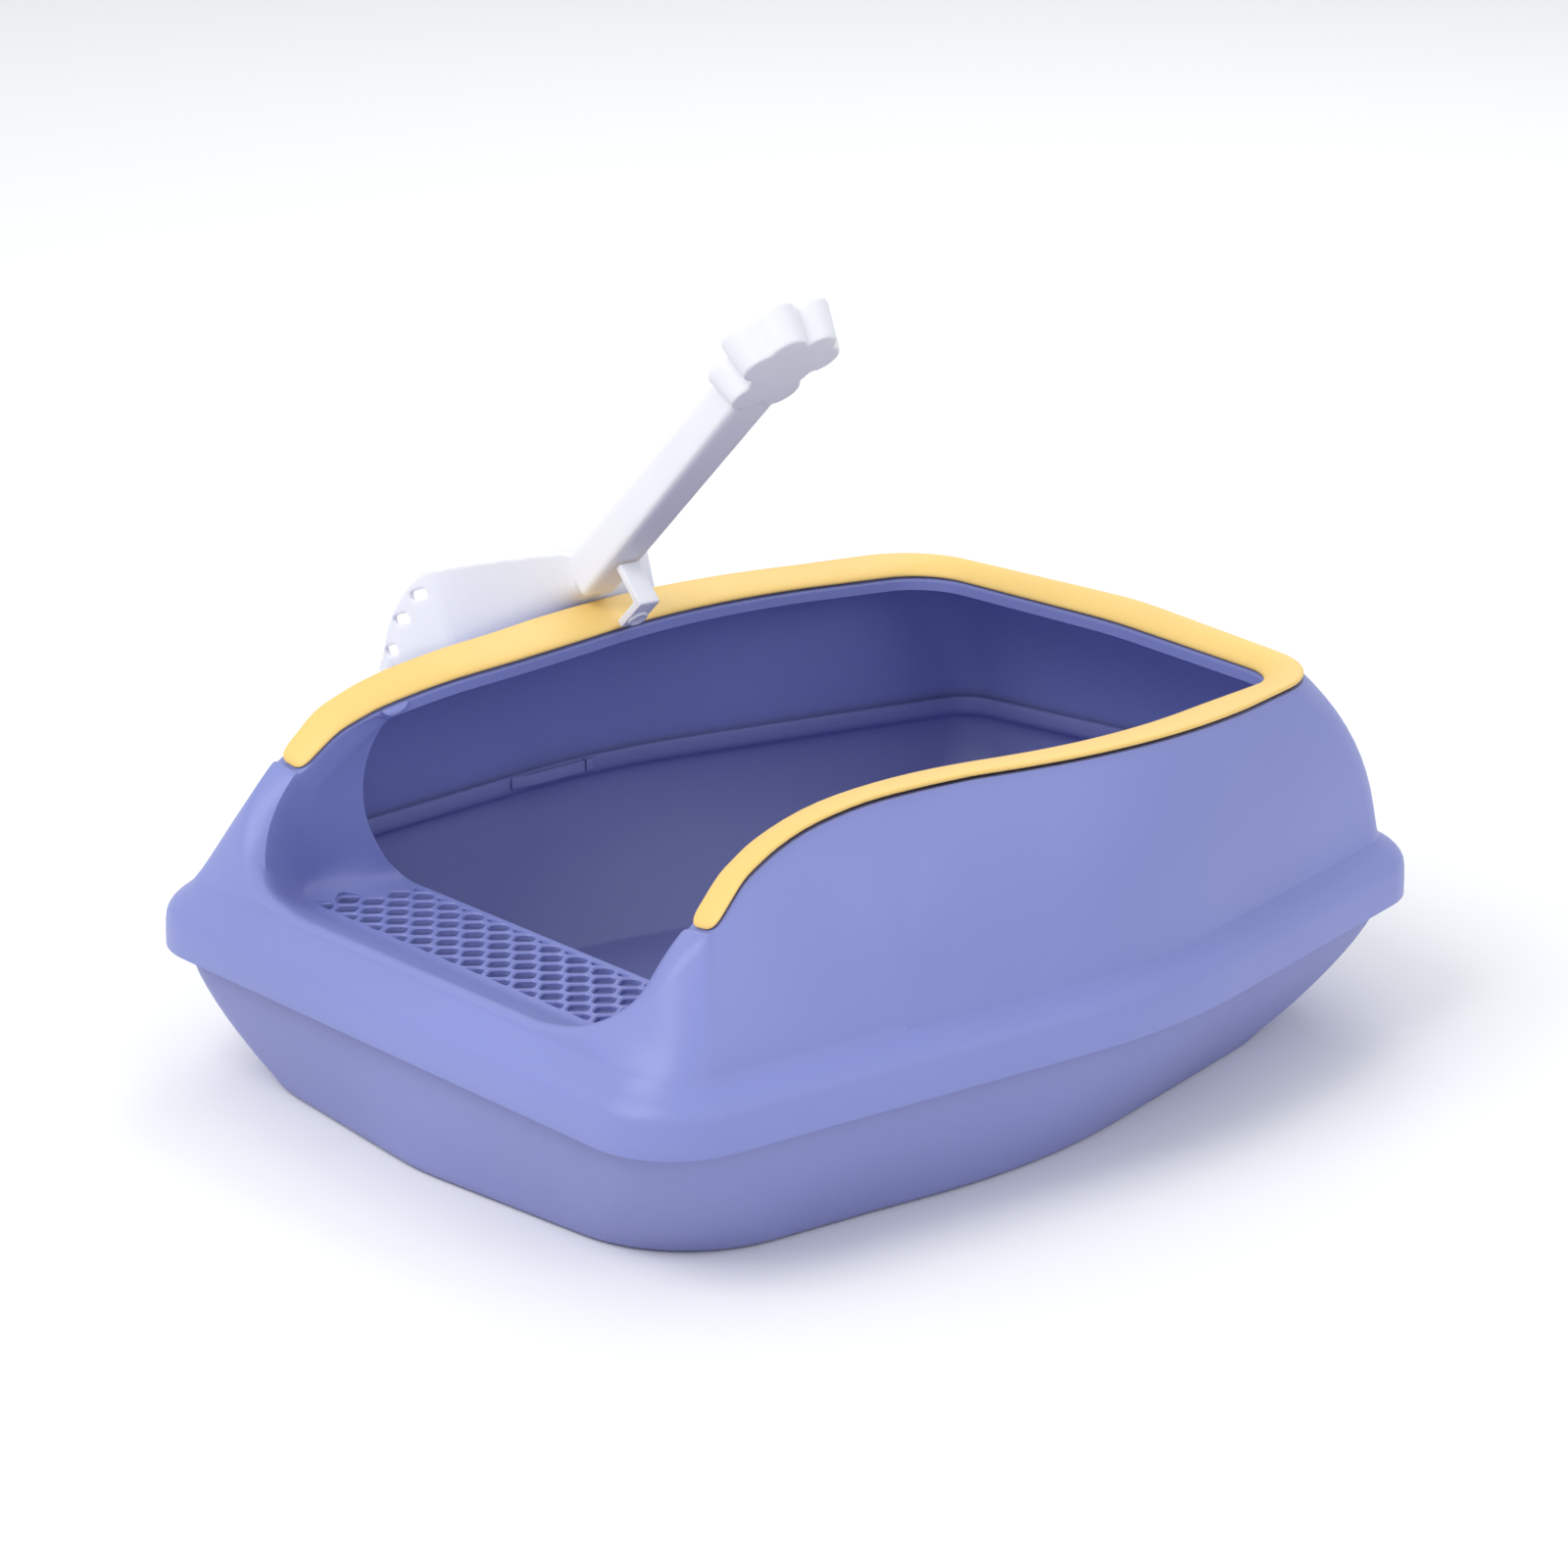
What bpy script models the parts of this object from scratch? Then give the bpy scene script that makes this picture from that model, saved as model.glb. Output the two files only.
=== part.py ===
"""Open-top cat litter box: tub, splash-guard hood with honeycomb step, soft rim
trim, and a paw-ended scoop that hangs on the left rim by its hook.

Metres, +Z up.  The origin is on the floor, on the centre line, 250 mm behind the
front edge of the hood; the cat walks in from the front, at -Y.
"""
import math

import bmesh
import bpy
from mathutils import Matrix, Vector

# ------------------------------------------------------------ driving dimensions
FRONT_Y = -0.250                # front of the hood skirt
REAR_Y = 0.212                  # rear of the hood skirt
HALF_WIDTH = 0.185              # side corner of the skirt outline, before rounding
WALL = 0.0024                   # plastic thickness of hood and tub
GAP = 0.0006                    # clearance between neighbouring pieces

SKIRT_Z = 0.055                 # lower edge of the hood skirt
STEP_Z = 0.069                  # top of the honeycomb step
SILL_Y = -0.2336                # ridge in front of the step
SILL_Z = 0.0845
TUB_BELLY = 1.40                # 1 for straight tub walls, more for rounder ones
STEP_FRONT_Y = -0.1985
STEP_REAR_Y = -0.148
TRIM_THICK = 0.0024
LIP_DROP = 0.0046               # lip that hangs from the inner edge of the rim

HEX_PITCH_X = 0.0166            # between hole centres of one row
HEX_PITCH_Y = 0.0065            # between rows, every other one shifted half a pitch
HEX_SHIFT_X = 0.0027            # of the first row
HEX_HALF_X = 0.0051
HEX_HALF_Y = 0.0052
HEX_FLAT = 0.26                 # share of the width that is left at the flat ends
HEX_ROWS = 8
HEX_FIRST_Y = -0.1938
HEX_RANGE_Y = (-0.1935, -0.1508)

# Half outlines, front middle to rear middle: (x, y) and the rounding at each.
SKIRT_LINE = [(0, FRONT_Y), (0.166, FRONT_Y), (0.1755, -0.127),
              (HALF_WIDTH, -0.004), (0.1372, 0.1870), (0, REAR_Y)]
SKIRT_ROUND = [0.037, 0.300, 0.276, 0.036]
RIM_LINE = [(0, -0.2262), (0.1394, -0.2262), (0.1269, -0.1178),
            (0.1528, 0.0169), (0.1223, 0.1401), (0, 0.1550)]
RIM_ROUND = [0.0255, 0.300, 0.300, 0.040]
BAND_LINE = [(0, STEP_FRONT_Y), (0.1217, STEP_FRONT_Y), (0.1027, -0.1052),
             (0.1281, 0.0088), (0.1062, 0.1312), (0, 0.1395)]
BAND_ROUND = [0.001, 0.270, 0.270, 0.0265]
BASE_LINE = [(0, -0.2330), (0.138, -0.2195), (0.1460, -0.130),
             (0.1555, -0.046), (0.1035, 0.156), (0, 0.173)]
BASE_ROUND = [0.055, 0.300, 0.290, 0.090]

# Where the entrance's rounded edge climbs from the sill to the trim: outer edge,
# ridge, inner edge, foot of the funnel, and the edge of the opening behind it.
RIM_CLIMB = [(0.078, -0.2366, 0.0828), (0.1005, -0.2358, 0.0866), (0.1140, -0.2315, 0.0920),
             (0.1222, -0.2265, 0.0980), (0.1270, -0.2222, 0.1040), (0.1298, -0.2180, 0.1100),
             (0.1325, -0.2120, 0.1170), (0.1362, -0.1987, 0.1274)]
RIDGE_CLIMB = [(0.078, SILL_Y, SILL_Z), (0.0993, -0.2326, 0.0888), (0.1117, -0.2279, 0.0944),
               (0.1186, -0.2232, 0.0998), (0.1226, -0.2195, 0.1050), (0.1250, -0.2152, 0.1115),
               (0.1268, -0.2095, 0.1190), (0.1289, -0.1986, 0.1274)]
BAND_CLIMB = [(0.076, -0.2300, 0.0832), (0.0965, -0.2288, 0.0868), (0.1078, -0.2245, 0.0915),
              (0.1140, -0.2203, 0.0968), (0.1176, -0.2168, 0.1025), (0.1194, -0.2128, 0.1090),
              (0.1204, -0.2075, 0.1165), (0.1215, -0.1985, 0.1256)]
FUNNEL_CLIMB = [(0.100, STEP_FRONT_Y, STEP_Z), (0.1195, -0.1975, 0.0693),
                (0.1262, -0.1935, 0.0728), (0.1262, -0.1945, 0.0820),
                (0.1245, -0.1945, 0.0950), (0.1228, -0.1925, 0.1080),
                (0.1215, -0.1900, 0.1150)]
MOUTH_CLIMB = [(0.100, STEP_REAR_Y, STEP_Z), (0.1150, STEP_REAR_Y, STEP_Z),
               (0.1192, -0.1495, 0.0715), (0.1200, -0.1570, 0.0800),
               (0.1210, -0.1655, 0.1000), (0.1200, -0.1660, 0.1200),
               (0.1165, -0.1590, 0.1380), (0.1125, -0.1450, 0.1465)]

# Height of the trim's outer and inner edge, by distance from the front.
RIM_HEIGHTS = [(-0.1977, 0.1280), (-0.180, 0.1452), (-0.155, 0.1556), (-0.119, 0.1600),
               (-0.069, 0.1610), (0.000, 0.1595), (0.081, 0.1575), (0.160, 0.1575)]
BAND_HEIGHTS = [(-0.1974, 0.1260), (-0.180, 0.1406), (-0.156, 0.1502), (-0.122, 0.1547),
                (-0.075, 0.1562), (-0.010, 0.1552), (0.069, 0.1542), (0.144, 0.1517)]

# Shoulder of the hood over the tub rim: inset, height at the sides, at the front.
SHOULDER = [(0.0, SKIRT_Z, SKIRT_Z), (0.0, 0.0680, 0.0665), (0.0012, 0.0712, 0.0703),
            (0.0042, 0.0745, 0.0736), (0.0085, 0.0770, 0.0766), (0.0115, 0.0792, 0.0796),
            (0.0128, 0.0850, 0.0812)]

# Rim of the tub, inside the hood: inset, height at the sides, at the front.
TUB_RIM = [(0.0074, 0.0620, 0.0620), (0.0074, 0.0690, 0.0680), (0.0086, 0.0730, 0.0712),
           (0.0112, 0.0745, 0.0726), (0.0145, 0.0758, 0.0735), (0.0160, 0.0775, 0.0745),
           (0.0163, 0.0830, 0.0785)]

# Scoop: hangs square to the left rim, leaning in over the box.
SCOOP_ROOT = Vector((-0.1378, -0.0301, 0.1756))    # middle of the handle's lower end
HANDLE_DIR = Vector((0.708, 0.0226, 0.706)).normalized()
SCOOP_SIDE = Vector((0.0026, 0.9994, -0.0346))
PAN_DROP = math.radians(21)     # the pan's slope below level
HANDLE_LENGTH = 0.130           # from the pan's root to the paw
HANDLE_WIDE = 0.0180            # at the root; the handle widens towards the paw
HANDLE_DEEP = 0.0190
HANDLE_FLARE = 1.28
PAW_DEEP = 0.0176
PAN_LENGTH = 0.106
PAN_HALF_WIDE = 0.058
PAN_WALL = 0.0022
HOOK_WIDE = 0.0105
HOOK_THICK = 0.0036
HOOK_REACH = 0.0170             # clear gap between the handle and the hook's finger
HOOK_FINGER = 0.0145

# Samples along a half outline: straight runs and the arcs between them.
RUNS = [6, 3, 3, 3, 4]
ARCS = [8, 3, 4, 6]
TRIM_FIRST = RUNS[0] + ARCS[0]  # first sample of a half loop that carries the trim


# ------------------------------------------------------------------ plain helpers
def lerp(a, b, k):
    return a + (b - a) * k


def smooth(k):
    k = min(1.0, max(0.0, k))
    return k * k * (3 - 2 * k)


def table(rows, y):
    """Reads a height from (y, z) rows, straight between them."""
    if y <= rows[0][0]:
        return rows[0][1]
    for (y0, z0), (y1, z1) in zip(rows, rows[1:]):
        if y <= y1:
            return lerp(z0, z1, (y - y0) / (y1 - y0))
    return rows[-1][1]


def half_outline(points, rounds):
    """Samples a filleted half outline with the same count of points every time."""
    pts = [Vector(p) for p in points]
    line = []
    head = pts[0]
    for i, (radius, run, arc) in enumerate(zip(rounds, RUNS, ARCS), start=1):
        back = (pts[i - 1] - pts[i]).normalized()
        ahead = (pts[i + 1] - pts[i]).normalized()
        bend = math.pi - back.angle(ahead)
        reach = max(radius * math.tan(bend / 2), 0.0011)
        start = pts[i] + back * reach
        end = pts[i] + ahead * reach
        weight = math.cos(bend / 2)
        line += [head.lerp(start, k / run) for k in range(run)]
        for k in range(arc):
            t = k / arc
            a, b, c = (1 - t) ** 2, 2 * weight * t * (1 - t), t * t
            line.append((start * a + pts[i] * b + end * c) / (a + b + c))
        head = end
    line += [head.lerp(pts[-1], k / RUNS[-1]) for k in range(RUNS[-1] + 1)]
    return line


def inset(line, depth):
    """Moves a half outline inwards along its own normals."""
    moved = []
    for i, p in enumerate(line):
        along = (line[min(i + 1, len(line) - 1)] - line[max(i - 1, 0)]).normalized()
        if i == 0:
            along = Vector((1, 0))
        if i == len(line) - 1:
            along = Vector((-1, 0))
        moved.append(p + Vector((-along.y, along.x)) * depth)
    return moved


def spline(points, count):
    """Evenly spaced samples of a smooth curve through points, the last left out."""
    pts = [Vector(p) for p in points]
    ends = [pts[0] * 2 - pts[1]] + pts + [pts[-1] * 2 - pts[-2]]
    fine = []
    steps = 12
    for a, b, c, d in zip(ends, ends[1:], ends[2:], ends[3:]):
        for k in range(steps):
            t = k / steps
            fine.append(0.5 * (2 * b + (c - a) * t + (2 * a - 5 * b + 4 * c - d) * t * t
                               + (3 * b - a - 3 * c + d) * t ** 3))
    fine.append(pts[-1])
    reach = [0.0]
    for p, q in zip(fine, fine[1:]):
        reach.append(reach[-1] + (q - p).length)
    samples = []
    for k in range(count):
        want = reach[-1] * k / count
        i = max(j for j, r in enumerate(reach[:-1]) if r <= want)
        samples.append(fine[i].lerp(fine[i + 1], (want - reach[i]) / (reach[i + 1] - reach[i])))
    return samples


def mirror_loop(half):
    """Closes a half loop of 3-D points across the x = 0 plane."""
    return half + [Vector((-p.x, p.y, p.z)) for p in reversed(half[1:-1])]


def skin(bm, loops):
    """Joins neighbouring closed loops with quads."""
    rings = [[bm.verts.new(p) for p in loop] for loop in loops]
    for low, high in zip(rings, rings[1:]):
        for i in range(len(low)):
            j = (i + 1) % len(low)
            bm.faces.new((low[i], low[j], high[j], high[i]))
    return rings


def plastic(name, colour, roughness):
    material = bpy.data.materials.new(name)
    material.use_nodes = True
    shader = material.node_tree.nodes["Principled BSDF"]
    shader.inputs["Base Color"].default_value = (*colour, 1)
    shader.inputs["Roughness"].default_value = roughness
    shader.inputs["Metallic"].default_value = 0.0
    return material


def finish(name, bm, material):
    """Turns a bmesh into a smooth-shaded object whose faces point outwards."""
    bmesh.ops.recalc_face_normals(bm, faces=bm.faces)
    middle = sum((v.co for v in bm.verts), Vector()) / len(bm.verts)
    if sum(f.normal.dot(f.calc_center_median() - middle) for f in bm.faces) < 0:
        bmesh.ops.reverse_faces(bm, faces=bm.faces)
    mesh = bpy.data.meshes.new(name)
    bm.to_mesh(mesh)
    bm.free()
    mesh.shade_smooth()
    mesh.set_sharp_from_angle(angle=math.radians(35))
    mesh.materials.append(material)
    body = bpy.data.objects.new(name, mesh)
    bpy.context.collection.objects.link(body)
    return body


def thicken(body, thickness):
    """Grows a sheet into a shell, on the side that its normals point away from."""
    shell = body.modifiers.new("Shell", "SOLIDIFY")
    shell.thickness = thickness
    shell.offset = -1


def combine(body, tool, operation):
    tool.hide_render = True
    tool.display_type = "WIRE"
    change = body.modifiers.new(operation.title(), "BOOLEAN")
    change.operation = operation
    change.solver = "EXACT"
    change.object = tool


# --------------------------------------------------------------------------- hood
def front_share(p):
    """1 on the front of the skirt, 0 along the sides."""
    return smooth((-0.205 - p.y) / 0.035)


def edge_loop(line, rounds, heights, climb, sunk):
    """Half loop of the rim: level at the front, the climb, then along the trim."""
    flat = half_outline(line, rounds)
    loop = sill_run(climb[0])
    loop += spline(climb, ARCS[0] - 1) + [Vector(climb[-1])]
    loop += [Vector((p.x, p.y, table(heights, p.y) - sunk)) for p in flat[TRIM_FIRST:]]
    return loop


def sill_run(first):
    """Level straight at the front, from the middle to where the climb begins."""
    x, y, z = first
    return [Vector((x * k / RUNS[0], y, z)) for k in range(RUNS[0])]


def rim_loops(sunk):
    """Outer edge, ridge and inner edge of the rim, sunk under the trim where it lies."""
    rim = edge_loop(RIM_LINE, RIM_ROUND, RIM_HEIGHTS, RIM_CLIMB, sunk)
    band = edge_loop(BAND_LINE, BAND_ROUND, BAND_HEIGHTS, BAND_CLIMB, sunk)
    ridge = sill_run(RIDGE_CLIMB[0])
    ridge += spline(RIDGE_CLIMB, ARCS[0] - 1) + [Vector(RIDGE_CLIMB[-1])]
    ridge += [a.lerp(b, 0.5) for a, b in zip(rim[TRIM_FIRST:], band[TRIM_FIRST:])]
    return rim, ridge, band


def mouth_loop(band):
    """Edge of the opening: the step's rear edge, the climb, then the rim's lip."""
    lip = [p - Vector((0, 0, LIP_DROP)) for p in band[TRIM_FIRST + RUNS[1]:]]
    climb = spline(MOUTH_CLIMB + [tuple(lip[0])], ARCS[0] + RUNS[1])
    return sill_run(MOUTH_CLIMB[0]) + climb + lip


def funnel_loop(band, mouth):
    """Fold between the rim and the opening's edge."""
    middle = [a.lerp(b, 0.5) for a, b in zip(band, mouth)][TRIM_FIRST + 1:]
    climb = spline(FUNNEL_CLIMB, ARCS[0]) + [Vector(FUNNEL_CLIMB[-1])]
    return sill_run(FUNNEL_CLIMB[0]) + climb + middle


def wall_ring(low, high, k):
    """Hood wall between its foot and the rim, bellied outwards along the sides."""
    belly = low.lerp(high, lerp(0.10, 0.50, smooth((-0.130 - high.y) / 0.080)))
    belly.z = lerp(low.z, high.z, 0.55)
    return low.lerp(belly, k).lerp(belly.lerp(high, k), k)


def level_rings(outline, rows):
    """Half loops inside an outline, from rows of inset, side height and front height."""
    return [[Vector((p.x, p.y, lerp(side_z, front_z, front_share(q))))
             for p, q in zip(inset(outline, depth), outline)]
            for depth, side_z, front_z in rows]


def hood_loops():
    loops = level_rings(half_outline(SKIRT_LINE, SKIRT_ROUND), SHOULDER)
    rim, ridge, band = rim_loops(TRIM_THICK + GAP)
    foot = loops[-1]
    for k in (0.25, 0.5, 0.75):
        loops.append([wall_ring(a, b, k) for a, b in zip(foot, rim)])
    mouth = mouth_loop(band)
    return loops + [rim, ridge, band, funnel_loop(band, mouth), mouth]


def step_half_width(y):
    """Half width of the step's pierced field, between the funnel's feet."""
    return lerp(0.1245, 0.1180, (y + 0.1938) / 0.0455)


def hex_outline(y):
    """One hole's outline about its centre, cut off at the edge of the field."""
    low, high = ((limit - y) / HEX_HALF_Y for limit in HEX_RANGE_Y)
    levels = [max(-1.0, low), min(1.0, high)]
    if levels[0] < -0.01 and levels[1] > 0.01:
        levels.insert(1, 0.0)
    side = [(1 - (1 - HEX_FLAT) * abs(v), v) for v in levels]
    return [(u * HEX_HALF_X, v * HEX_HALF_Y)
            for u, v in side + [(-u, v) for u, v in reversed(side)]]


def hex_cutter():
    """All the step's holes as one set of prisms."""
    bm = bmesh.new()
    for row in range(HEX_ROWS):
        y = HEX_FIRST_Y + row * HEX_PITCH_Y
        shift = HEX_SHIFT_X + (row % 2) * HEX_PITCH_X / 2
        outline = hex_outline(y)
        for n in range(-9, 9):
            x = n * HEX_PITCH_X + shift
            if abs(x) + HEX_HALF_X > step_half_width(y):
                continue
            rings = [[bm.verts.new((x + u, y + v, z)) for u, v in outline]
                     for z in (STEP_Z - 0.008, STEP_Z + 0.006)]
            bm.faces.new(rings[0])
            bm.faces.new(rings[1])
            for i in range(len(outline)):
                j = (i + 1) % len(outline)
                bm.faces.new((rings[0][i], rings[0][j], rings[1][j], rings[1][i]))
    return finish("cut_step_holes", bm, plastic("cutter", (0.5, 0.5, 0.5), 0.5))


def make_hood(material):
    bm = bmesh.new()
    skin(bm, [mirror_loop(loop) for loop in hood_loops()])
    hood = finish("hood", bm, material)
    thicken(hood, WALL)
    combine(hood, hex_cutter(), "DIFFERENCE")
    return hood


# ---------------------------------------------------------------------------- tub
def tub_loops():
    skirt = half_outline(SKIRT_LINE, SKIRT_ROUND)
    base = half_outline(BASE_LINE, BASE_ROUND)
    top = inset(skirt, 0.0080)
    loops = []
    for depth, z in ((0.0015, 0.0), (-0.0013, 0.0009), (-0.0028, 0.0042)):
        loops.append([Vector((p.x, p.y, z)) for p in inset(base, depth)])
    for share in (0.22, 0.44, 0.70, 1.0):
        z = lerp(0.0042, SKIRT_Z, share)
        spread = 1 - max(0.0, 1 - z / SKIRT_Z) ** TUB_BELLY
        ring = [a.lerp(b, spread) for a, b in zip(base, top)]
        loops.append([Vector((p.x, p.y, z)) for p in ring])
    return loops + level_rings(skirt, TUB_RIM)


def make_tub(material):
    bm = bmesh.new()
    rings = skin(bm, [mirror_loop(loop) for loop in tub_loops()])
    floor = rings[0]
    half = len(floor) // 2
    for i in range(half):
        low, high = (floor[i], floor[i + 1]), (floor[-i], floor[-i - 1])
        corners = []
        for v in (low[0], low[1], high[1], high[0]):
            if v not in corners:
                corners.append(v)
        bm.faces.new(corners)
    tub = finish("tub", bm, material)
    thicken(tub, WALL)
    return tub


# --------------------------------------------------------------------------- trim
def make_trim(material):
    """Band with a crowned top over the hood rim, open at the front."""
    rim, _, band = rim_loops(0.0)
    half = list(zip(rim, band))[TRIM_FIRST:]
    half[0] = tuple(a.lerp(b, 0.06) for a, b in zip(half[0], half[1]))
    other = [tuple(Vector((-p.x, p.y, p.z)) for p in pair) for pair in reversed(half[:-1])]
    stations = half + other
    drop = Vector((0, 0, TRIM_THICK))
    # across the band: share from outer to inner edge, height over the edge line
    crown = [(0.0, -0.0010), (0.06, 0.0002), (0.25, 0.0012), (0.55, 0.0014),
             (0.88, 0.0006), (1.0, -0.0010)]
    bm = bmesh.new()
    rings = []
    for i, (outer, inner) in enumerate(stations):
        ring = [outer.lerp(inner, k) + Vector((0, 0, h)) for k, h in crown]
        ring += [inner - drop, outer.lerp(inner, 0.5) - drop, outer - drop]
        rings.append([bm.verts.new(p) for p in ring])
    for a, b in zip(rings, rings[1:]):
        for i in range(len(a)):
            j = (i + 1) % len(a)
            bm.faces.new((a[i], a[j], b[j], b[i]))
    bm.faces.new(rings[0])
    bm.faces.new(rings[-1])
    return finish("rim_trim", bm, material)


# -------------------------------------------------------------------------- scoop
def scoop_frame():
    """Handle direction, outward direction across the handle, and width direction."""
    along = HANDLE_DIR
    side = (SCOOP_SIDE - along * SCOOP_SIDE.dot(along)).normalized()
    outward = along.cross(side)
    return along, outward, side


def frame_matrix(origin, x_axis, y_axis, z_axis):
    grid = Matrix((x_axis, y_axis, z_axis)).transposed().to_4x4()
    grid.translation = origin
    return grid


def pan_half_width(s):
    """Half width of the pan at a distance from its root: neck, shoulder, sides, tip."""
    if s < 0.036:
        return lerp(HANDLE_WIDE / 2, PAN_HALF_WIDE, smooth(s / 0.036) ** 0.9)
    return PAN_HALF_WIDE - 0.012 * max(0.0, (s - 0.060) / (PAN_LENGTH - 0.060)) ** 2


def pan_rim(s):
    """Height of the pan's rim over the line of the handle's back: an arch, then a dip."""
    arch = 0.0075 * math.sin(math.pi * min(1.0, max(0.0, s / 0.090)))
    return arch - 0.030 * smooth((s - 0.030) / (PAN_LENGTH + 0.015 - 0.030))


def pan_floor(s):
    return lerp(-HANDLE_DEEP, -0.033, smooth(s / 0.034))


def pan_section(s, inward, above):
    """U-shaped half section of the pan, from rim to keel."""
    half = pan_half_width(s) - inward
    top = pan_rim(s) + above
    keel = pan_floor(s) + inward
    corner = min(0.012, half * 0.7, (top - above - keel) * 0.8)
    points = [(half, top), (half - 0.0012, keel + corner)]
    for angle in (30, 60, 90):
        turn = math.radians(angle)
        points.append((half - 0.0012 - corner * (1 - math.cos(turn)),
                       keel + corner * (1 - math.sin(turn))))
    return points


def pan_body(name, stations, inward, above, frame, material):
    """Closed loft of the pan's outside, or of the hollow inside it."""
    bm = bmesh.new()
    rings = []
    for s in stations:
        right = pan_section(s, inward, above)
        left = [(-v, z) for v, z in reversed(right)]
        rings.append([bm.verts.new(frame @ Vector((s, v, z))) for v, z in right + left])
    for a, b in zip(rings, rings[1:]):
        for i in range(len(a)):
            j = (i + 1) % len(a)
            bm.faces.new((a[i], a[j], b[j], b[i]))
    bm.faces.new(rings[0])
    bm.faces.new(rings[-1])
    bmesh.ops.triangulate(bm, faces=bm.faces)
    return finish(name, bm, material)


def rounded_bar(name, ends, radius, frame, material):
    """Bar along local x with rounded corners; ends give (x, width, depth)."""
    bm = bmesh.new()
    rings = []
    for x, width, depth in ends:
        ring = []
        for cx, cy, first in ((1, 1, 0), (-1, 1, 90), (-1, -1, 180), (1, -1, 270)):
            for step in range(3):
                turn = math.radians(first + step * 45)
                v = cx * (width / 2 - radius) + radius * math.cos(turn)
                t = cy * (depth / 2 - radius) + radius * math.sin(turn)
                ring.append(bm.verts.new(frame @ Vector((x, v, t))))
        rings.append(ring)
    for a, b in zip(rings, rings[1:]):
        for i in range(len(a)):
            j = (i + 1) % len(a)
            bm.faces.new((a[i], a[j], b[j], b[i]))
    bm.faces.new(rings[0])
    bm.faces.new(rings[-1])
    bmesh.ops.triangulate(bm, faces=bm.faces)
    return finish(name, bm, material)


# Paw end of the handle: lobe centres (along, across) and radii, going round.
PAW_LOBES = [(0.0100, 0.0090, 0.0100), (0.0345, 0.0168, 0.0103), (0.0448, 0.0088, 0.0100),
             (0.0448, -0.0088, 0.0100), (0.0345, -0.0168, 0.0103), (0.0100, -0.0090, 0.0100)]
PAW_MIDDLE = Vector((0.0260, 0.0))
PAW_PALM = 0.0175               # radius of the disc between the lobes


def paw_outline(steps):
    """Outer edge of the lobes, seen square to the handle, by direction from the middle."""
    points = []
    for k in range(steps):
        turn = 2 * math.pi * k / steps
        ray = Vector((math.cos(turn), math.sin(turn)))
        reach = PAW_PALM
        for along, across, radius in PAW_LOBES:
            centre = Vector((along, across)) - PAW_MIDDLE
            near = centre.dot(ray)
            off = centre.length_squared - near * near
            if off < radius * radius:
                reach = max(reach, near + math.sqrt(radius * radius - off))
        points.append(PAW_MIDDLE + ray * reach)
    return points


def paw(name, frame, material):
    bm = bmesh.new()
    rings = []
    outline = paw_outline(36)
    for t, scale in ((-PAW_DEEP / 2, 0.87), (PAW_DEEP / 2 - 0.002, 1.0), (PAW_DEEP / 2, 0.94)):
        rings.append([bm.verts.new(frame @ (PAW_MIDDLE.lerp(p, scale).to_3d() + Vector((0, 0, t))))
                      for p in outline])
    for a, b in zip(rings, rings[1:]):
        for i in range(len(a)):
            j = (i + 1) % len(a)
            bm.faces.new((a[i], a[j], b[j], b[i]))
    bm.faces.new(rings[0])
    bm.faces.new(rings[-1])
    bmesh.ops.triangulate(bm, faces=bm.faces)
    return finish(name, bm, material)


def slot_cutter(frame, material):
    """Sifting slots along the pan's floor and three short ones in each flank."""
    bm = bmesh.new()

    def prism(points, push):
        low = [bm.verts.new(frame @ (p - push)) for p in points]
        high = [bm.verts.new(frame @ (p + push)) for p in points]
        bm.faces.new(low)
        bm.faces.new(high)
        for i in range(len(low)):
            j = (i + 1) % len(low)
            bm.faces.new((low[i], low[j], high[j], high[i]))

    def oval(half_long, half_wide):
        shape = []
        for k in range(8):
            turn = math.radians(22.5 + 45 * k)
            grow = half_long - half_wide
            shape.append((math.copysign(grow, math.cos(turn)) + half_wide * math.cos(turn),
                          half_wide * math.sin(turn)))
        return shape

    for row in (0, 1):
        for n in range(-4, 5):
            centre = Vector((0.044 + 0.029 * row, n * 0.0088, -0.033))
            prism([centre + Vector((a, b, 0)) for a, b in oval(0.0115, 0.0019)],
                  Vector((0, 0, 0.006)))
    for s in (0.046, 0.063, 0.080):
        centre = Vector((s, 0, pan_rim(s) - 0.0070))
        prism([centre + Vector((a, 0, b)) for a, b in oval(0.0062, 0.0022)],
              Vector((0, 0.07, 0)))
    bmesh.ops.triangulate(bm, faces=bm.faces)
    return finish("cut_scoop_slots", bm, material)


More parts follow.
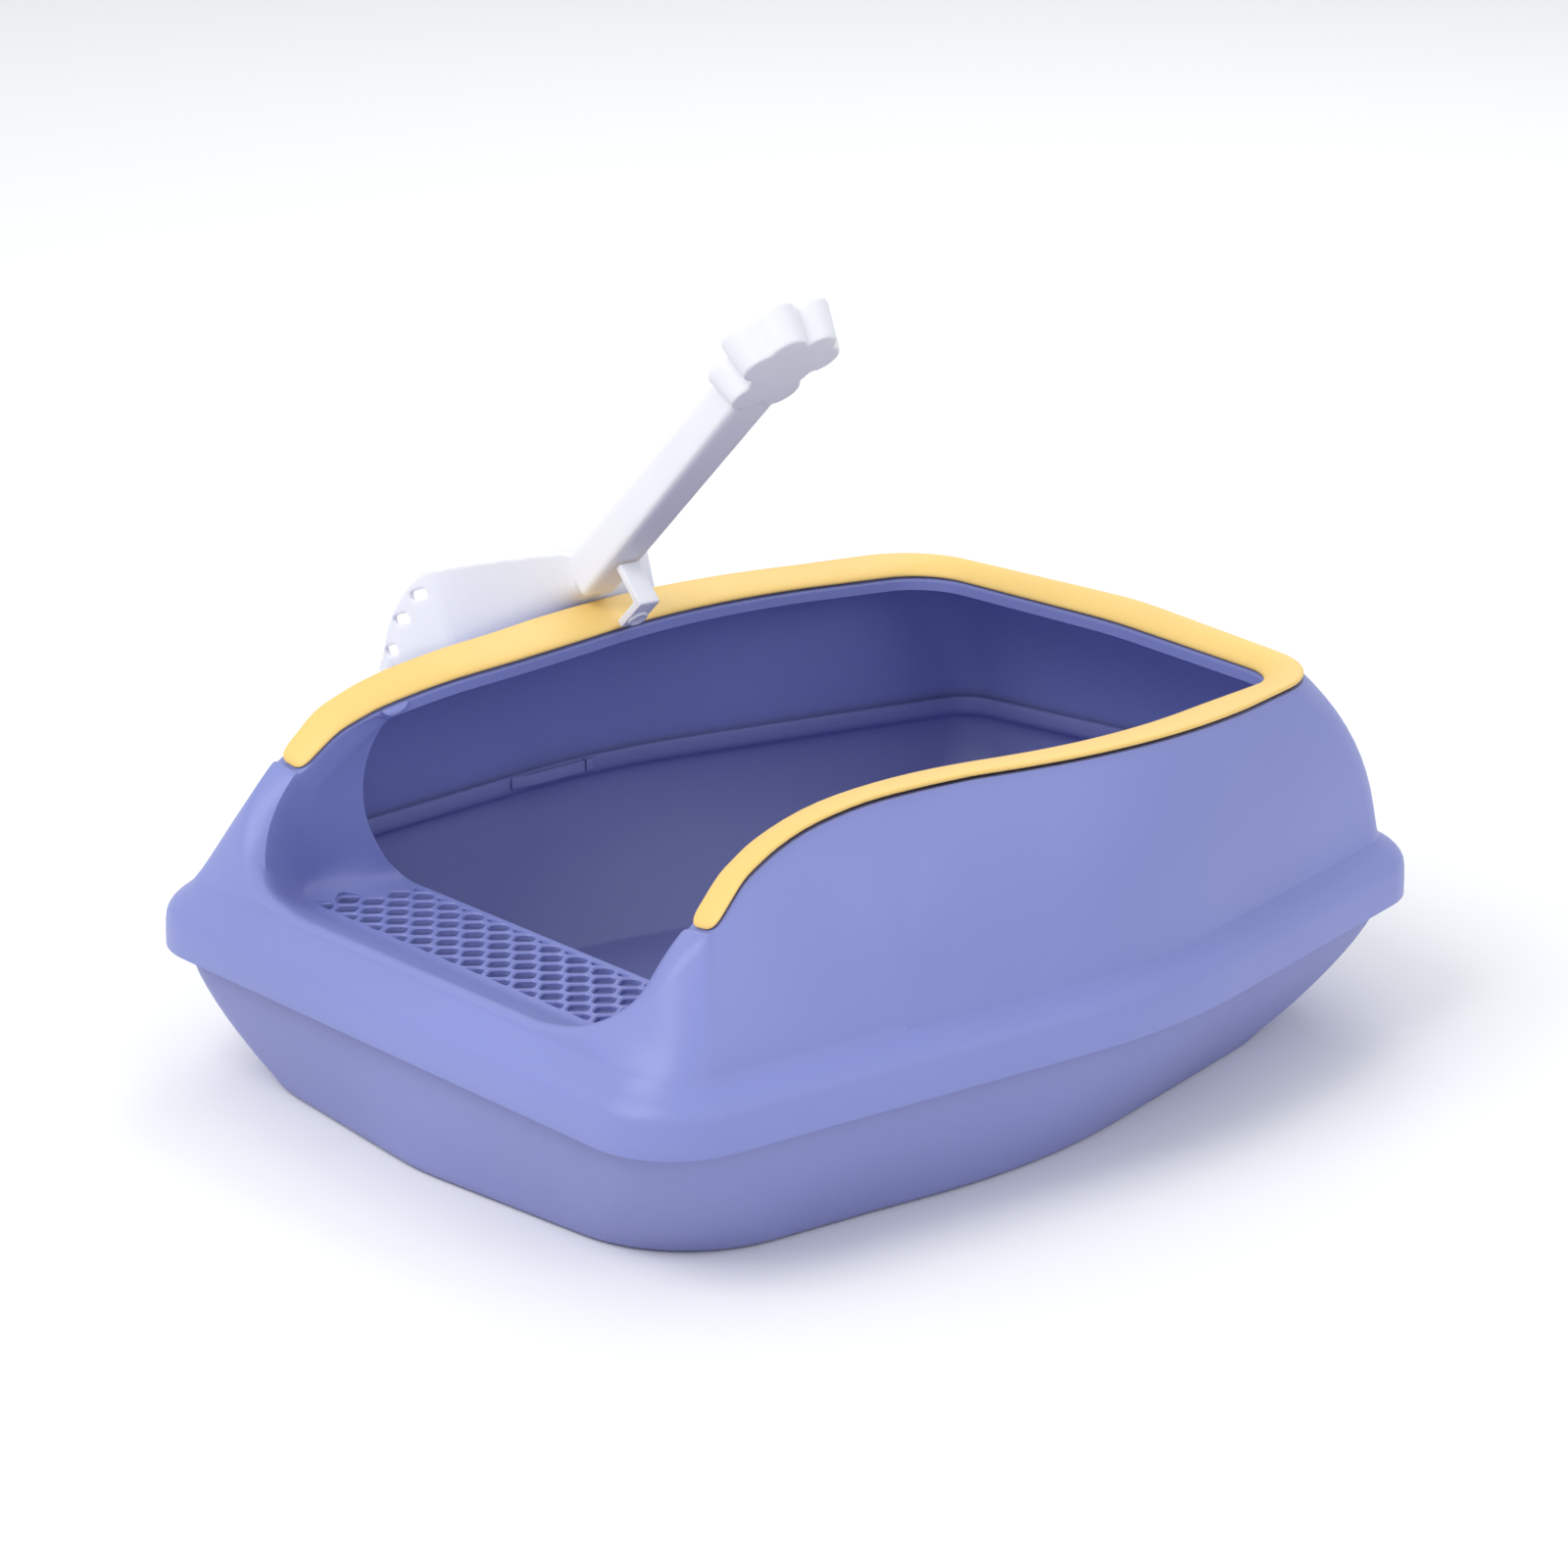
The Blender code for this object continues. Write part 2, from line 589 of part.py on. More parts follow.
def make_scoop(material):
    along, outward, side = scoop_frame()
    handle = frame_matrix(SCOOP_ROOT, along, side, outward)
    pan_x = Vector((-math.cos(PAN_DROP), 0, -math.sin(PAN_DROP)))
    pan_z = Vector((-math.sin(PAN_DROP), 0, math.cos(PAN_DROP)))
    back = SCOOP_ROOT + outward * (HANDLE_DEEP / 2)
    pan = frame_matrix(back, pan_x, pan_z.cross(pan_x), pan_z)
    outer = [0.0, 0.008, 0.017, 0.026, 0.035, 0.050, 0.066, 0.082, PAN_LENGTH]
    inner = [0.012, 0.018, 0.027, 0.036, 0.052, 0.068, 0.084, PAN_LENGTH + 0.012]
    scoop = rounded_bar("scoop", [(-0.006, HANDLE_WIDE, HANDLE_DEEP),
                                  (HANDLE_LENGTH + 0.02, HANDLE_WIDE * HANDLE_FLARE,
                                   HANDLE_DEEP * 0.84)], 0.003, handle, material)
    end = frame_matrix(SCOOP_ROOT + along * HANDLE_LENGTH, along, side, outward)
    combine(scoop, paw("cut_paw", end, material), "UNION")
    combine(scoop, pan_body("cut_pan", outer, 0.0, 0.0, pan, material), "UNION")
    hollow = pan_body("cut_pan_hollow", inner, PAN_WALL, 0.02, pan, material)
    combine(scoop, hollow, "DIFFERENCE")
    combine(scoop, slot_cutter(pan, material), "DIFFERENCE")
    return scoop


def make_hook(material):
    """L-shaped hanger under the handle: an arm, a finger and a grip pad."""
    along, outward, side = scoop_frame()
    face = SCOOP_ROOT + along * 0.0170 - outward * (HANDLE_DEEP / 2 + GAP)
    frame = frame_matrix(face, along, side, -outward)
    reach = HOOK_REACH + HOOK_THICK
    outline = [(0.0, 0.0), (0.0, HOOK_REACH), (-HOOK_FINGER, HOOK_REACH),
               (-HOOK_FINGER, reach), (HOOK_THICK - 0.001, reach), (HOOK_THICK, reach - 0.001),
               (HOOK_THICK, 0.0)]
    bm = bmesh.new()
    rings = [[bm.verts.new(frame @ Vector((x, v, z))) for x, z in outline]
             for v in (-HOOK_WIDE / 2, HOOK_WIDE / 2)]
    bm.faces.new(rings[0])
    bm.faces.new(rings[1])
    for i in range(len(outline)):
        j = (i + 1) % len(outline)
        bm.faces.new((rings[0][i], rings[0][j], rings[1][j], rings[1][i]))
    return finish("scoop_hook", bm, material)


# ---------------------------------------------------------------------- assembly
def main():
    for item in list(bpy.data.objects):
        bpy.data.objects.remove(item, do_unlink=True)
    periwinkle = plastic("periwinkle plastic", (0.230, 0.262, 0.590), 0.42)
    tub_grey = plastic("periwinkle tub plastic", (0.235, 0.255, 0.520), 0.45)
    yellow = plastic("soft yellow trim", (0.900, 0.690, 0.260), 0.50)
    white = plastic("white scoop plastic", (0.830, 0.835, 0.890), 0.40)
    make_tub(tub_grey)
    make_hood(periwinkle)
    make_trim(yellow)
    make_scoop(white)
    make_hook(white)


main()
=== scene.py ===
"""Looks of the open-top cat litter box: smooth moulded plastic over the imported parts.

Every piece is rebuilt finer than its CAD solid, from the same sections, and rides on
the same body.  Metres, +Z up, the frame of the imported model.
"""

import math

import bmesh
import bpy
from mathutils import Matrix, Vector


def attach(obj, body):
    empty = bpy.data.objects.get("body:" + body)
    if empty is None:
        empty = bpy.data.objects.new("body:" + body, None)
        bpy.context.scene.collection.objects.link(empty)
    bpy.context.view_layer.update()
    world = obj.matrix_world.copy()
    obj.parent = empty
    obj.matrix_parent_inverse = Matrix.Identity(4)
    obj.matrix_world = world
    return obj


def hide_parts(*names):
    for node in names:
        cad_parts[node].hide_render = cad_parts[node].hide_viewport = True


# ------------------------------------------------------------ driving dimensions
FRONT_Y = -0.250                # front of the hood skirt
REAR_Y = 0.212                  # rear of the hood skirt
HALF_WIDTH = 0.185              # side corner of the skirt outline, before rounding
WALL = 0.0024                   # plastic thickness of hood and tub
GAP = 0.0006                    # clearance between neighbouring pieces

SKIRT_Z = 0.055                 # lower edge of the hood skirt
STEP_Z = 0.069                  # top of the honeycomb step
SILL_Y = -0.2336                # ridge in front of the step
SILL_Z = 0.0845
TUB_BELLY = 1.40                # 1 for straight tub walls, more for rounder ones
STEP_FRONT_Y = -0.1985          # front and rear edges of the step
STEP_REAR_Y = -0.148
TUB_INSET = 0.0080              # top of the tub wall, inside the skirt
TRIM_THICK = 0.0024
LIP_DROP = 0.0046               # lip that hangs from the inner edge of the rim

HEX_PITCH_X = 0.0166            # between hole centres of one row
HEX_PITCH_Y = 0.0065            # between rows, every other one shifted half a pitch
HEX_SHIFT_X = 0.0027            # of the first row
HEX_HALF_X = 0.0051
HEX_HALF_Y = 0.0052
HEX_FLAT = 0.26                 # share of the width that is left at the flat ends
HEX_ROWS = 8
HEX_FIRST_Y = -0.1938
HEX_RANGE_Y = (-0.1935, -0.1508)
HEX_LAST_N = 9                  # holes to try on each side of the middle
FIELD_FRONT = 0.1228            # half width of the pierced field at its front
FIELD_REAR = 0.1150
FIELD_LENGTH = 0.0455

# Half outlines, front middle to rear middle: (x, y) and the rounding at each.
SKIRT_LINE = [(0, FRONT_Y), (0.166, FRONT_Y), (0.1755, -0.127),
              (HALF_WIDTH, -0.004), (0.1372, 0.1870), (0, REAR_Y)]
SKIRT_ROUND = [0.037, 0.300, 0.276, 0.036]
RIM_LINE = [(0, -0.2262), (0.1394, -0.2262), (0.1269, -0.1178),
            (0.1528, 0.0169), (0.1223, 0.1401), (0, 0.1550)]
RIM_ROUND = [0.0255, 0.300, 0.300, 0.040]
BAND_LINE = [(0, STEP_FRONT_Y), (0.1217, STEP_FRONT_Y), (0.1027, -0.1052),
             (0.1281, 0.0088), (0.1062, 0.1312), (0, 0.1395)]
BAND_ROUND = [0.001, 0.270, 0.270, 0.0265]
BASE_LINE = [(0, -0.2330), (0.138, -0.2195), (0.1460, -0.130),
             (0.1555, -0.046), (0.1035, 0.156), (0, 0.173)]
BASE_ROUND = [0.055, 0.300, 0.290, 0.090]

# Where the entrance's rounded edge climbs from the sill to the trim: outer edge,
# ridge, inner edge, foot of the funnel, and the edge of the opening behind it.
RIM_CLIMB = [(0.078, -0.2366, 0.0828), (0.1005, -0.2358, 0.0866), (0.1140, -0.2315, 0.0920),
             (0.1222, -0.2265, 0.0980), (0.1270, -0.2222, 0.1040), (0.1298, -0.2180, 0.1100),
             (0.1325, -0.2120, 0.1170), (0.1362, -0.1987, 0.1274)]
RIDGE_CLIMB = [(0.078, SILL_Y, SILL_Z), (0.0993, -0.2326, 0.0888), (0.1117, -0.2279, 0.0944),
               (0.1186, -0.2232, 0.0998), (0.1226, -0.2195, 0.1050), (0.1250, -0.2152, 0.1115),
               (0.1268, -0.2095, 0.1190), (0.1289, -0.1986, 0.1274)]
BAND_CLIMB = [(0.076, -0.2300, 0.0832), (0.0965, -0.2288, 0.0868), (0.1078, -0.2245, 0.0915),
              (0.1140, -0.2203, 0.0968), (0.1176, -0.2168, 0.1025), (0.1194, -0.2128, 0.1090),
              (0.1204, -0.2075, 0.1165), (0.1215, -0.1985, 0.1256)]
FUNNEL_CLIMB = [(0.100, STEP_FRONT_Y, STEP_Z), (0.1195, -0.1975, 0.0693),
                (0.1262, -0.1935, 0.0728), (0.1262, -0.1945, 0.0820),
                (0.1245, -0.1945, 0.0950), (0.1228, -0.1925, 0.1080),
                (0.1215, -0.1900, 0.1150)]
MOUTH_CLIMB = [(0.100, STEP_REAR_Y, STEP_Z), (0.1150, STEP_REAR_Y, STEP_Z),
               (0.1192, -0.1495, 0.0715), (0.1200, -0.1570, 0.0800),
               (0.1210, -0.1655, 0.1000), (0.1200, -0.1660, 0.1200),
               (0.1165, -0.1590, 0.1380), (0.1125, -0.1450, 0.1465)]

# Height of the trim's outer and inner edge, by distance from the front.
RIM_HEIGHTS = [(-0.1977, 0.1280), (-0.180, 0.1452), (-0.155, 0.1556), (-0.119, 0.1600),
               (-0.069, 0.1610), (0.000, 0.1595), (0.081, 0.1575), (0.160, 0.1575)]
BAND_HEIGHTS = [(-0.1974, 0.1260), (-0.180, 0.1406), (-0.156, 0.1502), (-0.122, 0.1547),
                (-0.075, 0.1562), (-0.010, 0.1552), (0.069, 0.1542), (0.144, 0.1517)]

# Shoulder of the hood over the tub rim: inset, height at the sides, at the front.
SHOULDER = [(0.0, SKIRT_Z, SKIRT_Z), (0.0, 0.0680, 0.0665), (0.0012, 0.0712, 0.0703),
            (0.0042, 0.0745, 0.0736), (0.0085, 0.0770, 0.0766), (0.0115, 0.0792, 0.0796),
            (0.0128, 0.0850, 0.0812)]

# Rim of the tub, inside the hood: inset, height at the sides, at the front.
TUB_RIM = [(0.0074, 0.0620, 0.0620), (0.0074, 0.0690, 0.0680), (0.0086, 0.0730, 0.0712),
           (0.0112, 0.0745, 0.0726), (0.0145, 0.0758, 0.0735), (0.0160, 0.0775, 0.0745),
           (0.0163, 0.0830, 0.0785)]

# Lowest part of the tub: inset from the base outline, and height.
TUB_FOOT = [(0.008, 0.0), (0.0025, 0.0), (-0.0013, 0.0010), (-0.0028, 0.0042)]
TUB_SHARES = (0.12, 0.24, 0.38, 0.54, 0.76, 1.0)    # levels between the foot and the skirt

# Scoop: hangs square to the left rim, leaning in over the box.
SCOOP_ROOT = Vector((-0.1378, -0.0301, 0.1756))    # middle of the handle's lower end
HANDLE_DIR = Vector((0.708, 0.0226, 0.706)).normalized()
SCOOP_SIDE = Vector((0.0026, 0.9994, -0.0346))
PAN_DROP = math.radians(21)     # the pan's slope below level
HANDLE_LENGTH = 0.130           # from the pan's root to the paw
HANDLE_WIDE = 0.0180            # at the root; the handle widens towards the paw
HANDLE_DEEP = 0.0190
HANDLE_FLARE = 1.28
PAW_DEEP = 0.0176
HANDLE_TAPER = 0.84             # depth at the paw, as a share of the depth at the root
PAN_LENGTH = 0.106
PAN_HALF_WIDE = 0.058
PAN_WALL = 0.0022
PAN_NECK = 0.036                # length over which the pan widens from the handle
PAN_TAPER_FROM = 0.060
PAN_TAPER = 0.012               # narrowing of the half width at the tip
PAN_ARCH = 0.0075               # rise of the rim, then its dip to the tip
PAN_ARCH_LENGTH = 0.090
PAN_DIP_FROM = 0.030
PAN_DIP = 0.030
PAN_FLOOR = -0.033
PAN_CORNER = 0.012
PAN_FLARE = 0.0012              # lean of each flank
HOOK_ALONG = 0.0170             # from the handle's root to the hook
HOOK_WIDE = 0.0105
HOOK_THICK = 0.0036
HOOK_REACH = 0.0170             # clear gap between the handle and the hook's finger
HOOK_FINGER = 0.0145
HOOK_ROUND = 0.0012             # rounding of the bend and ends

# Samples along a half outline: straight runs and the arcs between them.
FINE = 2
RUNS = [FINE * n for n in (6, 3, 3, 3, 4)]
ARCS = [FINE * n for n in (8, 3, 4, 6)]
TRIM_FIRST = RUNS[0] + ARCS[0]  # first sample of a half loop that carries the trim

LEVELLING = 0.12                # share of a run that levels out at the centre line
MIN_REACH = 0.0011              # least length of a fillet along each side
SHARP_ANGLE = 38                # degrees between faces that stay sharp
HEX_ROUND = 0.0017              # corner rounding of a hole, along each side
HEX_CHAMFER = 0.0006
HEX_LOW = -0.008                # ends of a hole's cutter, from the step's top
HEX_HIGH = 0.0016
EDGE_ROUND = 0.0006             # rounding of the sheet's free edges
TRIM_SEGMENTS = 12              # across the crown of the trim
TRIM_CROWN = 0.0024
TRIM_SINK = 0.0010              # drop of the crown's edges below the rim line
SCOOP_VOXEL = 0.0008
TAB_FROM_Y = -0.059             # snap tab on each side wall of the tub
TAB_TO_Y = -0.020
RIB_Z = 0.0803                  # middle height of the tab and of its catch
RIB_HIGH = 0.0050
RIB_PROUD = 0.0012
RIB_ROOT = 0.0016               # depth of a rib's root in the wall
RIB_MARGIN = 0.03               # wall on each side of a rib that gives its direction
TAB_FULLNESS = (0.0, 0.8, 1.0, 1.0, 1.0, 1.0)
CATCH_GAP = 0.0012              # from the tab to its catch
CATCH_LENGTH = 0.0060
CATCH_FULLNESS = (1.0, 1.0, 0.6, 0.0)
PAD_ALONG = -0.0085             # middle of the hook's round pad, along its finger
PAD_RADIUS = 0.0046
PAD_SIDES = 40

# Camera, and the room around the box.
CAMERA_AZIMUTH = math.radians(49.04)
CAMERA_ELEVATION = math.radians(18.15)
CAMERA_DISTANCE = 2.019
CAMERA_LENS = 112.15            # millimetres, on a 36 mm sensor
CAMERA_SENSOR = 36
CAMERA_TARGET = Vector((-0.0346, -0.0150, 0.1022))
FLOOR_HALF = 9.0

# Light and colour.
WORLD_COLOUR = (0.95, 0.97, 1.0, 1)
WORLD_STRENGTH = 0.80
LIGHT_AIM = (0, 0, 0.08)
# name, place, diameter, watts and colour of each lamp
LAMPS = [("key", (-0.2, -1.75, 2.1), 1.8, 32.0, (1, 0.99, 0.97)),
         ("fill", (2.2, 0.5, 1.4), 1.8, 8.0, (0.97, 0.98, 1)),
         ("rear", (-1.2, 1.6, 1.9), 1.4, 12.0, (1, 1, 1))]
HOOD_COLOUR = (0.215, 0.245, 0.560)
TUB_COLOUR = (0.220, 0.240, 0.510)
TRIM_COLOUR = (0.860, 0.585, 0.180)
SCOOP_COLOUR = (0.790, 0.797, 0.850)


# ------------------------------------------------------------------ plain helpers
def lerp(a, b, k):
    return a + (b - a) * k


def smooth(k):
    k = min(1.0, max(0.0, k))
    return k * k * (3 - 2 * k)


def table(rows, y):
    """Reads a height from (y, z) rows, straight between them."""
    if y <= rows[0][0]:
        return rows[0][1]
    for (y0, z0), (y1, z1) in zip(rows, rows[1:]):
        if y <= y1:
            return lerp(z0, z1, (y - y0) / (y1 - y0))
    return rows[-1][1]


def levelled(a, b, k):
    """Point on the way from a to b, on a line that levels out towards b."""
    over = max(0.0, k - (1 - LEVELLING))
    return Vector((lerp(a.x, b.x, k), lerp(a.y, b.y, k - over * over / (2 * LEVELLING))))


def half_outline(points, rounds):
    """Samples a filleted half outline with the same count of points every time."""
    pts = [Vector(p) for p in points]
    line = []
    head = pts[0]
    for i, (radius, run, arc) in enumerate(zip(rounds, RUNS, ARCS), start=1):
        back = (pts[i - 1] - pts[i]).normalized()
        ahead = (pts[i + 1] - pts[i]).normalized()
        bend = math.pi - back.angle(ahead)
        reach = max(radius * math.tan(bend / 2), MIN_REACH)
        start = pts[i] + back * reach
        end = pts[i] + ahead * reach
        weight = math.cos(bend / 2)
        if i == 1:
            line += [levelled(start, head, 1 - k / run) for k in range(run)]
        else:
            line += [head.lerp(start, k / run) for k in range(run)]
        for k in range(arc):
            t = k / arc
            a, b, c = (1 - t) ** 2, 2 * weight * t * (1 - t), t * t
            line.append((start * a + pts[i] * b + end * c) / (a + b + c))
        head = end
    line += [levelled(head, pts[-1], k / RUNS[-1]) for k in range(RUNS[-1] + 1)]
    return line


def inset(line, depth):
    """Moves a half outline inwards along its own normals."""
    moved = []
    for i, p in enumerate(line):
        along = (line[min(i + 1, len(line) - 1)] - line[max(i - 1, 0)]).normalized()
        if i == 0:
            along = Vector((1, 0))
        if i == len(line) - 1:
            along = Vector((-1, 0))
        moved.append(p + Vector((-along.y, along.x)) * depth)
    return moved


def spline(points, count):
    """Evenly spaced samples of a smooth curve through points, the last left out."""
    pts = [Vector(p) for p in points]
    ends = [pts[0] * 2 - pts[1]] + pts + [pts[-1] * 2 - pts[-2]]
    fine = []
    steps = 12
    for a, b, c, d in zip(ends, ends[1:], ends[2:], ends[3:]):
        for k in range(steps):
            t = k / steps
            fine.append(0.5 * (2 * b + (c - a) * t + (2 * a - 5 * b + 4 * c - d) * t * t
                               + (3 * b - a - 3 * c + d) * t ** 3))
    fine.append(pts[-1])
    reach = [0.0]
    for p, q in zip(fine, fine[1:]):
        reach.append(reach[-1] + (q - p).length)
    samples = []
    for k in range(count):
        want = reach[-1] * k / count
        i = max(j for j, r in enumerate(reach[:-1]) if r <= want)
        samples.append(fine[i].lerp(fine[i + 1], (want - reach[i]) / (reach[i + 1] - reach[i])))
    return samples


def mirror_loop(half):
    """Closes a half loop of 3-D points across the x = 0 plane."""
    return half + [Vector((-p.x, p.y, p.z)) for p in reversed(half[1:-1])]


def skin(bm, loops):
    """Joins neighbouring closed loops with quads."""
    rings = [[bm.verts.new(p) for p in loop] for loop in loops]
    for low, high in zip(rings, rings[1:]):
        for i in range(len(low)):
            j = (i + 1) % len(low)
            bm.faces.new((low[i], low[j], high[j], high[i]))
    return rings


def tube(bm, rings):
    """Closed body through rings of points, with a cap at each end."""
    rings = skin(bm, rings)
    bm.faces.new(rings[0])
    bm.faces.new(rings[-1])


def crease(bm, ring, amount):
    """Holds the fold along one closed ring of vertices under subdivision."""
    layer = bm.edges.layers.float.get("crease_edge") or bm.edges.layers.float.new("crease_edge")
    for i, v in enumerate(ring):
        bm.edges.get((v, ring[(i + 1) % len(ring)]))[layer] = amount


def make_object(name, bm):
    """Turns a bmesh into an object whose faces point away from its middle."""
    bmesh.ops.recalc_face_normals(bm, faces=bm.faces)
    middle = sum((v.co for v in bm.verts), Vector()) / len(bm.verts)
    if sum(f.normal.dot(f.calc_center_median() - middle) for f in bm.faces) < 0:
        bmesh.ops.reverse_faces(bm, faces=bm.faces)
    mesh = bpy.data.meshes.new(name)
    bm.to_mesh(mesh)
    bm.free()
    piece = bpy.data.objects.new(name, mesh)
    bpy.context.collection.objects.link(piece)
    return piece


def subdivide(piece, levels):
    change = piece.modifiers.new("Smooth surface", "SUBSURF")
    change.levels = levels
    change.render_levels = levels
    change.boundary_smooth = "PRESERVE_CORNERS"


def thicken(piece, thickness):
    """Grows a sheet into a shell, on the side that its normals point away from."""
    change = piece.modifiers.new("Shell", "SOLIDIFY")
    change.thickness = thickness
    change.offset = -1


def round_edges(piece, width, segments=2):
    change = piece.modifiers.new("Edges", "BEVEL")
    change.width = width
    change.segments = segments
    change.limit_method = "ANGLE"
    change.angle_limit = math.radians(50)
    change.use_clamp_overlap = True


def combine(piece, tool, operation):
    change = piece.modifiers.new(operation.title(), "BOOLEAN")
    change.operation = operation
    change.solver = "EXACT"
    change.object = tool


def bake(piece, tools, angle):
    """Applies a piece's modifiers, removes its tools and shades it smooth."""
    scene = bpy.context.evaluated_depsgraph_get()
    mesh = bpy.data.meshes.new_from_object(piece.evaluated_get(scene))
    piece.modifiers.clear()
    piece.data = mesh
    for tool in tools:
        bpy.data.objects.remove(tool, do_unlink=True)
    mesh.shade_smooth()
    mesh.set_sharp_from_angle(angle=math.radians(angle))


def dress(piece, node, body, material):
    """Gives a piece its material and its place in the frame."""
    piece.data.materials.clear()
    piece.data.materials.append(material)
    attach(piece, body)
    if node:
        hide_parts(node)


# --------------------------------------------------------------------- materials
def moulded(name, colour, roughness, sheen_scale, grain):
    """Injection-moulded plastic: faint colour drift, uneven gloss and a fine grain."""
    material = bpy.data.materials.new(name)
    material.use_nodes = True
    nodes, links = material.node_tree.nodes, material.node_tree.links
    shader = nodes["Principled BSDF"]
    shader.inputs["IOR"].default_value = 1.49
    shader.inputs["Metallic"].default_value = 0.0
    place = nodes.new("ShaderNodeTexCoord").outputs["Object"]

    def noise(scale, detail):
        node = nodes.new("ShaderNodeTexNoise")
        node.inputs["Scale"].default_value = scale
        node.inputs["Detail"].default_value = detail
        links.new(place, node.inputs["Vector"])
        return node.outputs["Fac"]

    drift = nodes.new("ShaderNodeValToRGB")
    drift.color_ramp.elements[0].position = 0.30
    drift.color_ramp.elements[0].color = (*(c * 0.955 for c in colour), 1)
    drift.color_ramp.elements[1].position = 0.70
    drift.color_ramp.elements[1].color = (*(min(1.0, c * 1.045) for c in colour), 1)
    links.new(noise(7.0, 2.0), drift.inputs["Fac"])
    links.new(drift.outputs["Color"], shader.inputs["Base Color"])

    gloss = nodes.new("ShaderNodeMapRange")
    gloss.inputs["To Min"].default_value = roughness - 0.05
    gloss.inputs["To Max"].default_value = roughness + 0.06
    links.new(noise(sheen_scale, 3.0), gloss.inputs["Value"])
    links.new(gloss.outputs["Result"], shader.inputs["Roughness"])

    bump = nodes.new("ShaderNodeBump")
    bump.inputs["Strength"].default_value = grain
    bump.inputs["Distance"].default_value = 0.0004
    links.new(noise(1400.0, 2.0), bump.inputs["Height"])
    links.new(bump.outputs["Normal"], shader.inputs["Normal"])
    return material


# --------------------------------------------------------------------------- hood
def front_share(p):
    """1 on the front of the skirt, 0 along the sides."""
    return smooth((-0.205 - p.y) / 0.035)


def edge_loop(line, rounds, heights, climb, sunk):
    """Half loop of the rim: level at the front, the climb, then along the trim."""
    flat = half_outline(line, rounds)
    loop = sill_run(climb[0])
    loop += spline(climb, ARCS[0] - 1) + [Vector(climb[-1])]
    loop += [Vector((p.x, p.y, table(heights, p.y) - sunk)) for p in flat[TRIM_FIRST:]]
    return loop


def sill_run(first):
    """Level straight at the front, from the middle to where the climb begins."""
    x, y, z = first
    return [Vector((x * k / RUNS[0], y, z)) for k in range(RUNS[0])]


def rim_loops(sunk):
    """Outer edge, ridge and inner edge of the rim, sunk under the trim where it lies."""
    rim = edge_loop(RIM_LINE, RIM_ROUND, RIM_HEIGHTS, RIM_CLIMB, sunk)
    band = edge_loop(BAND_LINE, BAND_ROUND, BAND_HEIGHTS, BAND_CLIMB, sunk)
    ridge = sill_run(RIDGE_CLIMB[0])
    ridge += spline(RIDGE_CLIMB, ARCS[0] - 1) + [Vector(RIDGE_CLIMB[-1])]
    ridge += [a.lerp(b, 0.5) for a, b in zip(rim[TRIM_FIRST:], band[TRIM_FIRST:])]
    return rim, ridge, band


def mouth_loop(band):
    """Edge of the opening: the step's rear edge, the climb, then the rim's lip."""
    lip = [p - Vector((0, 0, LIP_DROP)) for p in band[TRIM_FIRST + RUNS[1]:]]
    climb = spline(MOUTH_CLIMB + [tuple(lip[0])], ARCS[0] + RUNS[1])
    return sill_run(MOUTH_CLIMB[0]) + climb + lip


def funnel_loop(band, mouth):
    """Fold between the rim and the opening's edge."""
    middle = [a.lerp(b, 0.5) for a, b in zip(band, mouth)][TRIM_FIRST + FINE:]
    climb = spline(FUNNEL_CLIMB, ARCS[0]) + [Vector(FUNNEL_CLIMB[-1])]
    climb += [climb[-1].lerp(middle[0], k / FINE) for k in range(1, FINE)]
    return sill_run(FUNNEL_CLIMB[0]) + climb + middle


def wall_ring(low, high, k):
    """Hood wall between its foot and the rim, bellied outwards along the sides."""
    belly = low.lerp(high, lerp(0.10, 0.50, smooth((-0.130 - high.y) / 0.080)))
    belly.z = lerp(low.z, high.z, 0.55)
    return low.lerp(belly, k).lerp(belly.lerp(high, k), k)


def level_rings(outline, rows):
    """Half loops inside an outline, from rows of inset, side height and front height."""
    return [[Vector((p.x, p.y, lerp(side_z, front_z, front_share(q))))
             for p, q in zip(inset(outline, depth), outline)]
            for depth, side_z, front_z in rows]


def between(low, high, k):
    return [a.lerp(b, k) for a, b in zip(low, high)]


def hood_rings():
    """Half loops of the hood from the skirt's edge to the opening, with their creases."""
    shoulder = level_rings(half_outline(SKIRT_LINE, SKIRT_ROUND), SHOULDER)
    rings = list(zip(shoulder, (0.0, 0.0, 0.0, 0.0, 0.35, 0.85, 0.0)))
    rim, ridge, band = rim_loops(TRIM_THICK + GAP)
    foot = shoulder[-1]
    for k in (0.2, 0.4, 0.6, 0.8):
        rings.append(([wall_ring(a, b, k) for a, b in zip(foot, rim)], 0.0))
    mouth = mouth_loop(band)
    funnel = funnel_loop(band, mouth)
    rings += [(rim, 0.75), (ridge, 0.0), (band, 0.70), (between(band, funnel, 0.5), 0.0),
              (funnel, 0.35), (between(funnel, mouth, 0.08), 0.0),
              (between(funnel, mouth, 0.5), 0.0), (between(funnel, mouth, 0.95), 0.0),
              (mouth, 0.0)]
    return rings


def step_half_width(y):
    """Half width of the step's pierced field, between the funnel's feet."""
    return lerp(FIELD_FRONT, FIELD_REAR, (y - HEX_FIRST_Y) / FIELD_LENGTH)


